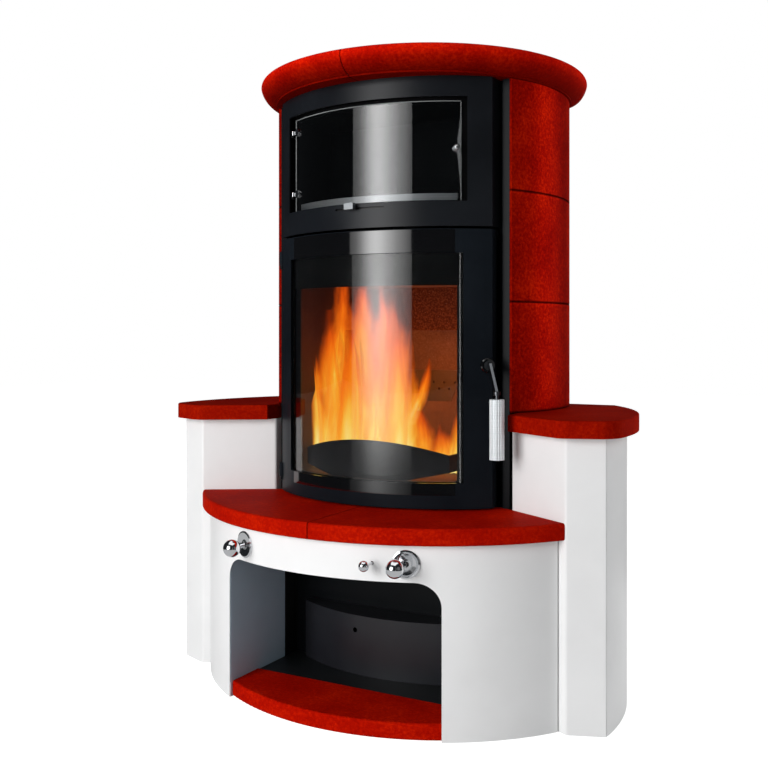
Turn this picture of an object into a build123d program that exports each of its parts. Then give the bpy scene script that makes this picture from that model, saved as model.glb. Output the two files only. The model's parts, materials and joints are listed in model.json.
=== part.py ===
from build123d import *
import math
import os

os.makedirs("parts", exist_ok=True)

# Plan. X runs across, Y runs back to the wall, Z is up from the floor.
wall_y = 431.0
drum_y = 217.7
bench_y = 262.8
front_y = 327.0
pillar_y = -10.6
cover_y = 426.0

# Sheet and clearances
sheet = 2.0
seat_gap = 0.3
running_fit = 0.05
seam = 1.2

# Curved faces, radii about the centres above
tile_radius = 433.3
tile_thickness = 34.0
drum_angle = math.radians(59.1)
tile_front_x = tile_radius * math.sin(drum_angle)
tile_front_y = drum_y - tile_radius * math.cos(drum_angle)
bench_radius = 659.4
pillar_radius = 656.2
cover_radius = 520.0
front_radius = 497.0

# Heights
slab_bottom_z = 473.5
slab_top_z = 516.0
cap_bottom_z = 726.0
cap_top_z = 769.0
total_height = 1720.0
cornice_height = 66.0
cornice_bottom_z = total_height - cornice_height

# Pillars: inner end, front corner, outer corner
pillar_inner = (tile_front_x + 4.2, tile_front_y - 8.7)
pillar_front = (560.8, -129.0)
pillar_outer = (650.8, -94.4)
pillar_slope = (pillar_inner[1] - pillar_front[1]) / (pillar_front[0] - pillar_inner[0])
pillar_seam = 2.6
fold_radius = 10.0
cap_overhang = 31.4
cap_inner_x = pillar_inner[0] + 4
cap_corner_radii = (45.0, 70.0)

# Bench and log store
slab_radius = bench_radius + 22.6
slab_back_radius = 455.0
floor_slab_radius = bench_radius - 10.4
bench_rail_radius = bench_radius - 7.4
bench_rail_width = 20.0
bench_rail_height = 3.5
store_half = 316.0
store_top_z = 382.0
store_corner = 60.0
store_roof_z = 390.0
store_back_y = 6.0
store_floor_z = 38.0
jamb_back_y = -55.5
floor_slab_half = store_half - 2
floor_slab_back_y = -190.2
floor_slab_top_z = 41.0
cover_half = 265.0
cover_top_z = 201.0

# Stand: steel base under the stove
stand_half = store_half + 2
stand_back_y = 425.0
base_thickness = 4.0
top_plate_thickness = 5.0

# Air controls
air_x = 238.0
air_z = 426.0
small_air_x = 159.0
air_rod_radius = 4.0
small_rod_radius = 3.0
air_ball_radius = 22.5
small_ball_radius = 13.5
air_knob_reach = 56.4
small_knob_reach = 40.4
shutter_y = 40.0
duct_half = 270.0
duct_x = 100.0
duct_y = 80.0
duct_radius = 30.0
inlet_z = 300.0
inlet_radius = 50.0
socket_depth = 60.0
socket_step = 2.0

# Tiles and cornice
tile_pitch = (cornice_bottom_z - cap_top_z) / 3
tile_back_y = 427.0
shell_radius = tile_radius - tile_thickness - 4.3
cornice_foot_radius = tile_radius + 4.7
cornice_inner_radius = cornice_foot_radius - 66
cornice_floor = 25.0

# Front of the stove
post_gap = 1.3
post_width = 19.5
front_half = 332.5
upper_plate_bottom_z = total_height - 459
window_half = front_half - 53
window_bottom_z = total_height - 393.5
window_top_z = total_height - 120
slot_z = total_height - 406
slot_half = 75.0
slot_height = 5.0

# Fire door
door_bottom_z = 521.0
door_top_z = total_height - 466
door_depth = 20.0
glass_half = front_half - 61.5
glass_bottom_z = 588.0
glass_top_z = total_height - 528.5
glass_overlap = 20.0
bar_half = front_half - 80.5
top_bar_top_z = total_height - 468
bottom_bar_bottom_z = 556.0
glass_outer_radius = front_radius - 8
glass_thickness = 4.0
hinge_x = -front_half - 5.5
hinge_pin_radius = 4.0
hinge_levels = (560.0, total_height - 540)
barrel_length = 40.0
barrel_radius = 7.0

# Handle
handle_x = front_half - 10.5
handle_z = 896.0
handle_shaft_radius = 6.0
grip_offset = 69.5
grip_side = 3.9
grip_radius = 19.0
grip_bottom_z = 657.0
grip_top_z = 811.0

# Firebox
frame_radius = front_radius - 27.3
frame_thickness = 5.7
frame_half = front_half - 40.5
fire_half = front_half - 87.5
fire_top_z = total_height - 540
firebox_half = frame_half - 2
firebox_back_y = 298.0
firebox_top_z = total_height - 480
hearth_z = 588.0
hearth_thickness = 20.0
ash_top_z = 563.0
ash_bottom_z = 535.0
grate_half = 120.0
lining_half = firebox_half - 4
lining_inner_x = firebox_half - 40
lining_front_y = 257.0
lining_top_z = total_height - 600
flue_y = 200.0
flue_z = total_height - 320
flue_radius = 75.0
air_plate_low_half = 75.0
air_plate_high_half = 114.0
air_plate_bottom_z = 776.5
air_plate_top_z = 869.5
retainer_radius = front_radius - 39
retainer_half = fire_half - 22
retainer_wing = 52.0
retainer_top_z = 692.0
retainer_arc_radius = 700.4
retainer_notch = (105.0, 22.0)

# Baking compartment
pane_radius = front_radius - 14
pane_thickness = 4.0
pane_half = window_half - 19.9
pane_bottom_z = window_bottom_z + 2.5
pane_top_z = window_top_z - 9
mouth_half = window_half - 29.5
mouth_bottom_z = window_bottom_z + 4.5
mouth_top_z = window_top_z - 16
oven_radius = front_radius - 23
oven_half = window_half - 17.5
oven_back_y = 112.0
pane_hinge_x = -window_half + 11.5
pane_pin_radius = 2.5
pane_hinge_levels = (window_bottom_z + 52.5, window_top_z - 45)
pane_fitting_x = window_half - 31.5
pane_knob_z = window_top_z - 134

sides = (-1, 1)


def front_point(radius, centre_y, x):
    """Y of the front of a circle at the given X."""
    return centre_y - math.sqrt(radius**2 - x**2)


def block(x_low, x_high, y_low, y_high, z_low, z_high, mode=Mode.ADD):
    """Box between the given limits."""
    with Locations((x_low, y_low, z_low)):
        Box(
            x_high - x_low,
            y_high - y_low,
            z_high - z_low,
            align=(Align.MIN, Align.MIN, Align.MIN),
            mode=mode,
        )


def peg(start, direction, radius, length, mode=Mode.ADD):
    """Cylinder from a start point along a direction."""
    with Locations(Plane(origin=start, z_dir=direction)):
        Cylinder(radius, length, align=(Align.CENTER, Align.CENTER, Align.MIN), mode=mode)


def arc_sheet(radius_out, radius_in, centre_y, x_low, x_high, z_low, z_high, mode=Mode.ADD):
    """Curved upright sheet: the front of a ring between two X values."""
    with BuildSketch(Plane.XY.offset(z_low)) as plan:
        with Locations((0, centre_y)):
            Circle(radius_out)
            Circle(radius_in, mode=Mode.SUBTRACT)
        with Locations(((x_low + x_high) / 2, centre_y - radius_out / 2)):
            Rectangle(x_high - x_low, radius_out, mode=Mode.INTERSECT)
    extrude(plan.sketch, amount=z_high - z_low, mode=mode)


def bow_block(radius, centre_y, half_x, back_y, z_low, z_high, mode=Mode.ADD):
    """Block with a curved front and a flat back."""
    with BuildSketch(Plane.XY.offset(z_low)) as plan:
        with Locations((0, centre_y)):
            Circle(radius)
        with Locations((0, back_y)):
            Rectangle(
                2 * half_x, 2 * radius, align=(Align.CENTER, Align.MAX), mode=Mode.INTERSECT
            )
    extrude(plan.sketch, amount=z_high - z_low, mode=mode)


def wedge_block(low_half, high_half, y_low, y_high, z_low, z_high, mode=Mode.ADD):
    """Block whose sides spread upwards in the front view."""
    with BuildSketch(Plane.XZ.offset(-y_high)) as view:
        Polygon(
            (-low_half, z_low),
            (low_half, z_low),
            (high_half, z_high),
            (-high_half, z_high),
            align=None,
        )
    extrude(view.sketch, amount=y_high - y_low, mode=mode)


def window(half_x, z_low, z_high, corner, from_y, depth):
    """Cuts a window with round corners straight through towards the front."""
    with BuildSketch(Plane.XZ.offset(-from_y)) as view:
        with Locations((0, (z_low + z_high) / 2)):
            RectangleRounded(2 * half_x, z_high - z_low, corner)
    extrude(view.sketch, amount=depth, mode=Mode.SUBTRACT)


def drum_sector(radius_out, radius_in, side, back_y, z_low, z_high):
    """Side wall of the drum on one side, from the front edge of the tiles to the back."""
    reach = 2 * radius_out
    edge_x = side * reach * math.sin(drum_angle)
    edge_y = drum_y - reach * math.cos(drum_angle)
    with BuildSketch(Plane.XY.offset(z_low)) as plan:
        with Locations((0, drum_y)):
            Circle(radius_out)
            Circle(radius_in, mode=Mode.SUBTRACT)
        Polygon(
            (0, drum_y),
            (edge_x, edge_y),
            (side * reach, edge_y),
            (side * reach, back_y),
            (0, back_y),
            align=None,
            mode=Mode.INTERSECT,
        )
    extrude(plan.sketch, amount=z_high - z_low)


def edges_of_radius(part, radius):
    """Arc edges with the given radius."""
    return [
        edge
        for edge in part.edges().filter_by(GeomType.CIRCLE)
        if abs(edge.radius - radius) < 0.01
    ]


def reach_pillar(radius):
    """X where the front of a bench arc meets the face of the pillar."""
    rise = pillar_front[1] + pillar_slope * pillar_front[0] - bench_y
    spread = 1 + pillar_slope**2
    root = math.sqrt((rise * pillar_slope) ** 2 - spread * (rise**2 - radius**2))
    return (rise * pillar_slope + root) / spread


def tile_edge(radius, gap):
    """Point beside the front edge of the right tiles, by its distance from the drum centre."""
    x = radius * math.sin(drum_angle) - gap * math.cos(drum_angle)
    y = drum_y - radius * math.cos(drum_angle) - gap * math.sin(drum_angle)
    return (x, y)


def normal_at(radius, x):
    """Outward direction of a curved front at the given X."""
    return (x / radius, -math.sqrt(radius**2 - x**2) / radius, 0)


def save(builder, name):
    """Names a piece and writes its file."""
    builder.part.label = name
    export_step(builder.part, f"parts/{name}.step")


def save_left(right_part, name):
    """Writes the mirrored piece of the left side."""
    with BuildPart() as left_piece:
        mirror(right_part, about=Plane.YZ)
    save(left_piece, name)


hinge_y = front_point(front_radius, front_y, front_half) + 4.4

# Bench ---------------------------------------------------------------------

with BuildPart() as bench_panel:
    panel_half = reach_pillar(bench_radius) - 3
    arc_sheet(
        bench_radius, bench_radius - sheet, bench_y, -panel_half, panel_half, 0, slab_bottom_z
    )
    with BuildSketch(Plane.XZ) as arch:
        with Locations((0, -10)):
            Rectangle(
                2 * store_half,
                store_top_z - store_corner + 10,
                align=(Align.CENTER, Align.MIN),
            )
            Rectangle(
                2 * (store_half - store_corner), store_top_z + 10, align=(Align.CENTER, Align.MIN)
            )
        with Locations((0, store_top_z - store_corner)):
            with GridLocations(2 * (store_half - store_corner), 0, 2, 1):
                Circle(store_corner)
    extrude(amount=500, mode=Mode.SUBTRACT)
    for side in sides:
        peg((side * air_x, 0, air_z), (0, -1, 0), air_rod_radius + 3, 500, Mode.SUBTRACT)
    peg((small_air_x, 0, air_z), (0, -1, 0), small_rod_radius + 1.5, 500, Mode.SUBTRACT)
save(bench_panel, "bench_panel")

with BuildPart() as store_jambs:
    jamb_front_y = front_point(bench_radius - sheet, bench_y, store_half + 1) + 1.6
    for x_low in (store_half - 1, -store_half - 1):
        block(x_low, x_low + sheet, jamb_front_y, jamb_back_y, 0, store_roof_z)
save(store_jambs, "store_jambs")

with BuildPart() as store_floor:
    floor_half = floor_slab_half - 0.5
    floor_front_y = floor_slab_back_y + 0.2
    floor_back_y = store_back_y - 0.5
    block(-floor_half, floor_half, floor_front_y, floor_back_y, base_thickness, store_floor_z)
    block(
        -floor_half + sheet,
        floor_half - sheet,
        floor_front_y + sheet,
        floor_back_y + 1,
        base_thickness - 1,
        store_floor_z - 3,
        Mode.SUBTRACT,
    )
save(store_floor, "store_floor")

with BuildPart() as store_shell:
    roof_top_z = store_roof_z + sheet
    back_half = stand_half - 4.5
    block(
        -back_half, back_half, store_back_y, store_back_y + sheet, base_thickness, store_roof_z
    )
    bow_block(
        bench_radius - 3.4, bench_y, store_half + 1, jamb_back_y - 0.5, store_roof_z, roof_top_z
    )
    block(
        -back_half - 1,
        back_half + 1,
        jamb_back_y - 0.6,
        store_back_y + sheet,
        store_roof_z,
        roof_top_z,
    )
save(store_shell, "store_shell")

with BuildPart() as store_cover:
    cover_back_y = store_back_y - 0.5
    bow_block(cover_radius, cover_y, cover_half, cover_back_y, store_floor_z, cover_top_z)
    bow_block(
        cover_radius - 2.5,
        cover_y,
        cover_half - 2.5,
        cover_back_y + 1,
        store_floor_z - 1,
        cover_top_z - 2.5,
        Mode.SUBTRACT,
    )
    peg((-56.6, -150, 159.6), (0, 1, 0), 7, 100, Mode.SUBTRACT)
save(store_cover, "store_cover")

with BuildPart() as floor_slab:
    bow_block(
        floor_slab_radius, bench_y, floor_slab_half, floor_slab_back_y, 0, floor_slab_top_z
    )
    fillet(edges_of_radius(floor_slab, floor_slab_radius), 5)
save(floor_slab, "floor_slab")

with BuildPart() as right_bench_slab:
    slab_line = pillar_inner[1] - 0.6 + pillar_inner[0] * pillar_slope
    with BuildSketch(Plane.XY.offset(slab_bottom_z)):
        with Locations((0, bench_y)):
            Circle(slab_radius)
        Polygon(
            (seam / 2, bench_y - slab_radius),
            (seam / 2, 20.5),
            (320, slab_line - 320 * pillar_slope),
            (slab_radius, slab_line - slab_radius * pillar_slope),
            (slab_radius, bench_y - slab_radius),
            align=None,
            mode=Mode.INTERSECT,
        )
        with Locations((0, front_y)):
            Circle(slab_back_radius, mode=Mode.SUBTRACT)
    extrude(amount=slab_top_z - slab_bottom_z)
    fillet(edges_of_radius(right_bench_slab, slab_radius), 7)
save(right_bench_slab, "right_bench_slab")
save_left(right_bench_slab.part, "left_bench_slab")

with BuildPart() as bench_frame:
    rail_bottom_z = slab_bottom_z - bench_rail_height
    rail_half = reach_pillar(bench_rail_radius) - 17
    arc_sheet(
        bench_rail_radius,
        bench_rail_radius - bench_rail_width,
        bench_y,
        -rail_half,
        rail_half,
        rail_bottom_z,
        slab_bottom_z,
    )
    arc_sheet(
        slab_back_radius + 23, slab_back_radius + 1, front_y, -330, 330, rail_bottom_z, slab_bottom_z
    )
    for side in sides:
        tie_x = side * 333
        tie_front_y = front_point(bench_rail_radius - 10, bench_y, tie_x)
        block(tie_x - 7, tie_x + 7, tie_front_y, -10, rail_bottom_z, slab_bottom_z)
        block(tie_x - 10, tie_x + 10, -18, 2, 0, rail_bottom_z)
        leg_x = side * 395
        leg_y = front_point(bench_rail_radius - bench_rail_width, bench_y, leg_x)
        block(leg_x - 10, leg_x + 10, leg_y - 10, leg_y + 10, 0, rail_bottom_z)
save(bench_frame, "bench_frame")

# Pillars -------------------------------------------------------------------

with BuildPart() as right_pillar_front:
    with BuildSketch():
        with BuildLine():
            FilletPolyline(
                (pillar_inner[0], 20), pillar_inner, pillar_front, pillar_outer, radius=fold_radius
            )
            offset(amount=sheet, side=Side.LEFT, kind=Kind.INTERSECTION)
        make_face()
    extrude(amount=cap_bottom_z)
save(right_pillar_front, "right_pillar_front")
save_left(right_pillar_front.part, "left_pillar_front")

with BuildPart() as right_pillar_side:
    with BuildSketch():
        with Locations((0, pillar_y)):
            Circle(pillar_radius)
            Circle(pillar_radius - sheet, mode=Mode.SUBTRACT)
        with Locations((470, pillar_outer[1] + pillar_seam)):
            Rectangle(
                250,
                wall_y - pillar_outer[1] - pillar_seam,
                align=(Align.MIN, Align.MIN),
                mode=Mode.INTERSECT,
            )
    extrude(amount=cap_bottom_z)
save(right_pillar_side, "right_pillar_side")
save_left(right_pillar_side.part, "left_pillar_side")

with BuildPart() as pillar_frames:
    for shelf_z in (20, 400, cap_bottom_z - 3):
        with BuildSketch(Plane.XY.offset(shelf_z)):
            with Locations((0, pillar_y)):
                Circle(pillar_radius - 2.7)
            Polygon(
                (cap_inner_x + 2, wall_y - 5),
                (cap_inner_x + 2, pillar_inner[1] - 0.7),
                (pillar_front[0] + 0.2, pillar_front[1] + 4.4),
                (pillar_outer[0] - 1.3, pillar_outer[1] + 2.4),
                (pillar_radius, pillar_outer[1] + 2.4),
                (pillar_radius, wall_y - 5),
                align=None,
                mode=Mode.INTERSECT,
            )
            with Locations((0, drum_y)):
                Circle(shell_radius + 5, mode=Mode.SUBTRACT)
        extrude(amount=3)
    for post_x, post_y in ((600, -80), (600, 130), (480, 395), (430, -10)):
        block(post_x - 10, post_x + 10, post_y - 10, post_y + 10, 0, cap_bottom_z - 3)
    mirror(about=Plane.YZ)
save(pillar_frames, "pillar_frames")

with BuildPart() as right_cap:
    with BuildSketch(Plane.XY.offset(cap_bottom_z)) as cap_plan:
        with BuildLine():
            end_y = wall_y + cap_overhang
            end_x = math.sqrt(pillar_radius**2 - (end_y - pillar_y) ** 2)
            Polyline((pillar_inner[0], end_y), pillar_inner, pillar_front, pillar_outer)
            ThreePointArc(pillar_outer, (pillar_radius, pillar_y), (end_x, end_y))
            Line((end_x, end_y), (pillar_inner[0], end_y))
        make_face()
        offset(amount=cap_overhang, kind=Kind.INTERSECTION)
        for corner, corner_radius in zip((pillar_front, pillar_outer), cap_corner_radii):
            nearest = cap_plan.vertices().sort_by_distance((*corner, cap_bottom_z))[0]
            fillet(nearest, corner_radius)
        with Locations((cap_inner_x, wall_y)):
            Rectangle(
                pillar_radius, pillar_radius, align=(Align.MIN, Align.MAX), mode=Mode.INTERSECT
            )
        with Locations((0, drum_y)):
            Circle(shell_radius + 2, mode=Mode.SUBTRACT)
    extrude(amount=cap_top_z - cap_bottom_z)
    cap_top = right_cap.faces().sort_by(Axis.Z)[-1]
    fillet([edge for edge in cap_top.edges() if edge.center().Y < wall_y - 5], 4)
save(right_cap, "right_cap")
save_left(right_cap.part, "left_cap")

# Tiles and cornice ---------------------------------------------------------

for level in range(3):
    for side, side_name in ((-1, "left"), (1, "right")):
        tile_bottom_z = cap_top_z + level * tile_pitch
        with BuildPart() as tile:
            drum_sector(
                tile_radius,
                tile_radius - tile_thickness,
                side,
                tile_back_y,
                tile_bottom_z,
                tile_bottom_z + tile_pitch - seat_gap,
            )
            fillet(edges_of_radius(tile, tile_radius), 2)
        save(tile, f"{side_name}_tile_{level + 1}")

with BuildPart() as right_cornice:
    lip_radius = cornice_foot_radius + 45.5
    foot_z = cornice_bottom_z + 4
    ledge_z = cornice_bottom_z + cornice_floor
    with BuildSketch(Plane.XZ.offset(-drum_y)):
        with BuildLine():
            Polyline(
                (cornice_foot_radius, foot_z),
                (cornice_foot_radius, cornice_bottom_z),
                (cornice_inner_radius, cornice_bottom_z),
                (cornice_inner_radius, ledge_z),
                (cornice_foot_radius + 2, ledge_z),
                (cornice_foot_radius + 2, total_height),
                (lip_radius - 15.5, total_height),
            )
            ThreePointArc(
                (lip_radius - 15.5, total_height),
                (lip_radius - 4.5, total_height - 5),
                (lip_radius, total_height - 18),
            )
            ThreePointArc(
                (lip_radius, total_height - 18),
                (lip_radius - 19.5, cornice_bottom_z + 16.5),
                (cornice_foot_radius, foot_z),
            )
        make_face()
    revolve(axis=Axis((0, drum_y, 0), (0, 0, 1)))
    reach = 2 * lip_radius
    bottom_z = cornice_bottom_z - 1
    top_z = total_height + 1
    block(-reach, seam / 2, -reach, reach, bottom_z, top_z, Mode.SUBTRACT)
    block(-1, reach, wall_y, wall_y + reach, bottom_z, top_z, Mode.SUBTRACT)
save(right_cornice, "right_cornice")
save_left(right_cornice.part, "left_cornice")

with BuildPart() as top_lid:
    with BuildSketch(Plane.XY.offset(cornice_bottom_z + cornice_floor)):
        with Locations((0, drum_y)):
            Circle(cornice_foot_radius - 1)
        with Locations((0, tile_back_y)):
            Rectangle(
                2 * cornice_foot_radius,
                2 * cornice_foot_radius,
                align=(Align.CENTER, Align.MAX),
                mode=Mode.INTERSECT,
            )
        with Locations((0, drum_y - 40)):
            with GridLocations(150, 36, 3, 7):
                SlotOverall(120, 12, mode=Mode.SUBTRACT)
    extrude(amount=3)
save(top_lid, "top_lid")

# Body ----------------------------------------------------------------------

with BuildPart() as front_posts:
    outer_x, outer_y = tile_edge(tile_radius - 7.7, post_gap)
    fold_x, fold_y = tile_edge(shell_radius - 5, post_gap)
    for side, inner_side in ((-1, Side.RIGHT), (1, Side.LEFT)):
        with BuildSketch(Plane.XY.offset(slab_top_z)):
            with BuildLine():
                Polyline(
                    (side * (outer_x - post_width), outer_y),
                    (side * outer_x, outer_y),
                    (side * fold_x, fold_y),
                    (side * fold_x, fold_y + 54),
                )
                offset(amount=sheet, side=inner_side, kind=Kind.INTERSECTION)
            make_face()
        extrude(amount=cornice_bottom_z - slab_top_z)
    for level_z in hinge_levels:
        with BuildSketch(Plane.XY.offset(level_z - 10)):
            Polygon(
                (hinge_x - 5, hinge_y),
                (hinge_x + 5, hinge_y),
                (post_width - outer_x - 1, outer_y + 1),
                (post_width - outer_x - 16, outer_y + 1),
                align=None,
            )
            with Locations((hinge_x, hinge_y)):
                Circle(5)
        extrude(amount=10)
        peg((hinge_x, hinge_y, level_z - 1), (0, 0, 1), hinge_pin_radius, barrel_length - 2)
save(front_posts, "front_posts")

with BuildPart() as upper_front_plate:
    plate_inner = front_radius - 6
    arc_sheet(
        front_radius,
        plate_inner,
        front_y,
        -front_half,
        front_half,
        upper_plate_bottom_z,
        cornice_bottom_z,
    )
    for x_low in (-front_half, front_half - 4):
        block(x_low, x_low + 4, hinge_y, 14, upper_plate_bottom_z + 2, cornice_bottom_z)
    window(window_half, window_bottom_z, window_top_z, 3, 0, 400)
    window(slot_half, slot_z - slot_height / 2, slot_z + slot_height / 2, 2.4, 0, 400)
save(upper_front_plate, "upper_front_plate")

with BuildPart() as body_shell:
    for side in sides:
        drum_sector(
            shell_radius, shell_radius - 2.5, side, stand_back_y, slab_top_z, cornice_bottom_z - 2
        )
        for level in range(3):
            rail_z = cap_top_z + (level + 0.5) * tile_pitch
            drum_sector(
                shell_radius + 3.9, shell_radius - 1, side, stand_back_y, rail_z, rail_z + 20
            )
    back_half = math.sqrt((shell_radius - 1) ** 2 - (stand_back_y - drum_y) ** 2)
    block(
        -back_half,
        back_half,
        stand_back_y - 2.5,
        stand_back_y,
        slab_top_z,
        cornice_bottom_z - 2,
    )
    peg((0, 400, flue_z), (0, 1, 0), flue_radius + 5, 60, Mode.SUBTRACT)
save(body_shell, "body_shell")

with BuildPart() as rear_panel:
    block(-480, 480, wall_y - 3, wall_y, 0, cap_bottom_z - 2)
    block(-374, 374, wall_y - 3, wall_y, cap_bottom_z - 2, cornice_bottom_z - 0.3)
    peg((0, 400, flue_z), (0, 1, 0), flue_radius + 5, 60, Mode.SUBTRACT)
    peg((0, 400, inlet_z), (0, 1, 0), inlet_radius + 5, 60, Mode.SUBTRACT)
save(rear_panel, "rear_panel")

with BuildPart() as stand:
    wall_thickness = 3
    top_plate_z = slab_top_z - top_plate_thickness
    low_wall_z = slab_bottom_z - bench_rail_height
    base_front_y = floor_slab_back_y + 0.2
    base_step_y = jamb_back_y + 0.5
    block(
        -floor_slab_half, floor_slab_half, base_front_y, base_step_y + 0.5, 0, base_thickness
    )
    block(-stand_half, stand_half, base_step_y, stand_back_y, 0, base_thickness)
    for x_low in (-stand_half, stand_half - wall_thickness):
        x_high = x_low + wall_thickness
        block(x_low, x_high, base_step_y, stand_back_y, 0, low_wall_z)
        block(x_low, x_high, store_back_y + 2.5, stand_back_y, low_wall_z, top_plate_z)
    block(-stand_half, stand_half, stand_back_y - wall_thickness, stand_back_y, 0, top_plate_z)
    block(-stand_half, stand_half, store_back_y + 3, store_back_y + 7, low_wall_z, top_plate_z)
    for x_low in (-154, 150):
        block(x_low, x_low + 4, -95, store_back_y + 4, low_wall_z + 10, slab_top_z - 1)
    with BuildSketch(Plane.XY.offset(top_plate_z)):
        with Locations((0, drum_y)):
            Circle(shell_radius + 2)
        with Locations((0, front_y)):
            Circle(slab_back_radius - 3, mode=Mode.INTERSECT)
        with Locations((0, stand_back_y)):
            Rectangle(
                2 * tile_radius,
                2 * tile_radius,
                align=(Align.CENTER, Align.MAX),
                mode=Mode.INTERSECT,
            )
    extrude(amount=top_plate_thickness)
    for side in sides:
        peg((side * duct_x, duct_y, top_plate_z - 1), (0, 0, 1), duct_radius, 10, Mode.SUBTRACT)
    peg((0, 400, inlet_z), (0, 1, 0), inlet_radius + 5, 60, Mode.SUBTRACT)
save(stand, "stand")

with BuildPart() as front_frame:
    arc_sheet(
        frame_radius,
        frame_radius - frame_thickness,
        front_y,
        -frame_half,
        frame_half,
        door_bottom_z + 0.5,
        door_top_z - 1,
    )
    window(fire_half, hearth_z, fire_top_z, 8, 0, 400)
    window(135, ash_bottom_z, ash_top_z, 5, 0, 400)
save(front_frame, "front_frame")

with BuildPart() as firebox_shell:
    shell_front = frame_radius - frame_thickness - 0.2
    inner_half = firebox_half - 3
    inner_back = firebox_back_y - 3
    bow_block(
        shell_front, front_y, firebox_half, firebox_back_y, slab_top_z, firebox_top_z
    )
    bow_block(
        shell_front + 5,
        front_y,
        inner_half,
        inner_back,
        hearth_z - hearth_thickness,
        firebox_top_z - 3,
        Mode.SUBTRACT,
    )
    bow_block(
        shell_front + 5,
        front_y,
        inner_half,
        inner_back,
        slab_top_z + 3,
        ash_top_z + 2,
        Mode.SUBTRACT,
    )
    for x_low in (-110, 104):
        block(x_low, x_low + 6, -120, 250, slab_top_z + 2, ash_bottom_z)
    block(8 - grate_half, grate_half - 8, -11, 141, ash_top_z, hearth_z - 18, Mode.SUBTRACT)
    peg(
        (0, flue_y, firebox_top_z - 10),
        (0, 0, 1),
        flue_radius - socket_step,
        20,
        Mode.SUBTRACT,
    )
    for side in sides:
        peg((side * duct_x, duct_y, slab_top_z - 1), (0, 0, 1), duct_radius, 5, Mode.SUBTRACT)
save(firebox_shell, "firebox_shell")

with BuildPart() as lining_floor:
    lining_radius = frame_radius - 7.7
    bow_block(
        lining_radius,
        front_y,
        lining_half,
        lining_front_y - 0.5,
        hearth_z - hearth_thickness + seat_gap,
        hearth_z,
    )
    block(-grate_half - 1, grate_half + 1, -20, 150, hearth_z - 12, hearth_z + 1, Mode.SUBTRACT)
    block(8 - grate_half, grate_half - 8, -11, 141, ash_top_z, hearth_z, Mode.SUBTRACT)
save(lining_floor, "lining_floor")

with BuildPart() as lining_sides:
    bow_block(
        lining_radius,
        front_y,
        lining_half,
        lining_front_y - 0.5,
        hearth_z + seat_gap,
        lining_top_z,
    )
    block(
        -lining_inner_x,
        lining_inner_x,
        -300,
        300,
        hearth_z - 10,
        lining_top_z + 10,
        Mode.SUBTRACT,
    )
save(lining_sides, "lining_sides")

with BuildPart() as lining_back:
    block(
        -lining_half,
        lining_half,
        lining_front_y,
        firebox_back_y - 4,
        hearth_z - hearth_thickness + seat_gap,
        lining_top_z,
    )
    wedge_block(
        air_plate_low_half + 0.5,
        air_plate_high_half + 0.5,
        lining_front_y - 20,
        firebox_back_y,
        air_plate_bottom_z - 0.3,
        air_plate_top_z + 0.5,
        Mode.SUBTRACT,
    )
save(lining_back, "lining_back")

with BuildPart() as air_plate:
    wedge_block(
        air_plate_low_half,
        air_plate_high_half,
        lining_front_y - 1.5,
        firebox_back_y - 4.5,
        air_plate_bottom_z,
        air_plate_top_z,
    )
    wedge_block(
        air_plate_low_half - 3,
        air_plate_high_half - 3,
        lining_front_y + 1.5,
        firebox_back_y,
        air_plate_bottom_z + 3,
        air_plate_top_z - 3,
        Mode.SUBTRACT,
    )
    with BuildSketch(Plane.XZ.offset(-270)):
        for row_x, row_z, count in ((0, air_plate_top_z - 36.5, 6), (0, air_plate_top_z - 56.5, 5)):
            with Locations((row_x, row_z)):
                with GridLocations(35, 0, count, 1):
                    Circle(3.5)
    extrude(amount=30, mode=Mode.SUBTRACT)
save(air_plate, "air_plate")

with BuildPart() as baffle:
    block(
        -lining_half, lining_half, 60, firebox_back_y - 4, lining_top_z + seat_gap, lining_top_z + 25
    )
save(baffle, "baffle")

with BuildPart() as grate:
    block(-grate_half, grate_half, -19, 149, hearth_z - 12 + seat_gap, hearth_z - 1)
    with Locations((0, 65)):
        with GridLocations(22, 74, 10, 2):
            Box(10, 60, 3 * hearth_z, mode=Mode.SUBTRACT)
save(grate, "grate")

with BuildPart() as log_retainer:
    retainer_low_z = hearth_z + seat_gap
    retainer_high_z = retainer_top_z + 10
    wing_front_y = front_point(retainer_radius, front_y, retainer_half) + 1
    wing_back_y = wing_front_y + retainer_wing
    arc_sheet(
        retainer_radius,
        retainer_radius - 3,
        front_y,
        -retainer_half,
        retainer_half,
        retainer_low_z,
        retainer_high_z,
    )
    for x_low in (-retainer_half, retainer_half - 3):
        block(x_low, x_low + 3, wing_front_y, wing_back_y, retainer_low_z, retainer_high_z)
    with BuildSketch(Plane.XZ) as retainer_view:
        with Locations((0, retainer_top_z - retainer_arc_radius)):
            Circle(retainer_arc_radius)
        for side in sides:
            Polygon(
                (side * (retainer_half - retainer_notch[0]), retainer_low_z),
                (side * (retainer_half + 1), retainer_low_z),
                (side * (retainer_half + 1), retainer_low_z + retainer_notch[1]),
                align=None,
                mode=Mode.SUBTRACT,
            )
    extrude(retainer_view.sketch, amount=300, mode=Mode.INTERSECT)
save(log_retainer, "log_retainer")

with BuildPart() as ash_pan:
    block(-125, 125, -92, 190, ash_bottom_z + seat_gap, ash_top_z - 1.5)
    block(-123, 123, -90, 188, ash_bottom_z + seat_gap + sheet, ash_top_z, Mode.SUBTRACT)
save(ash_pan, "ash_pan")

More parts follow.
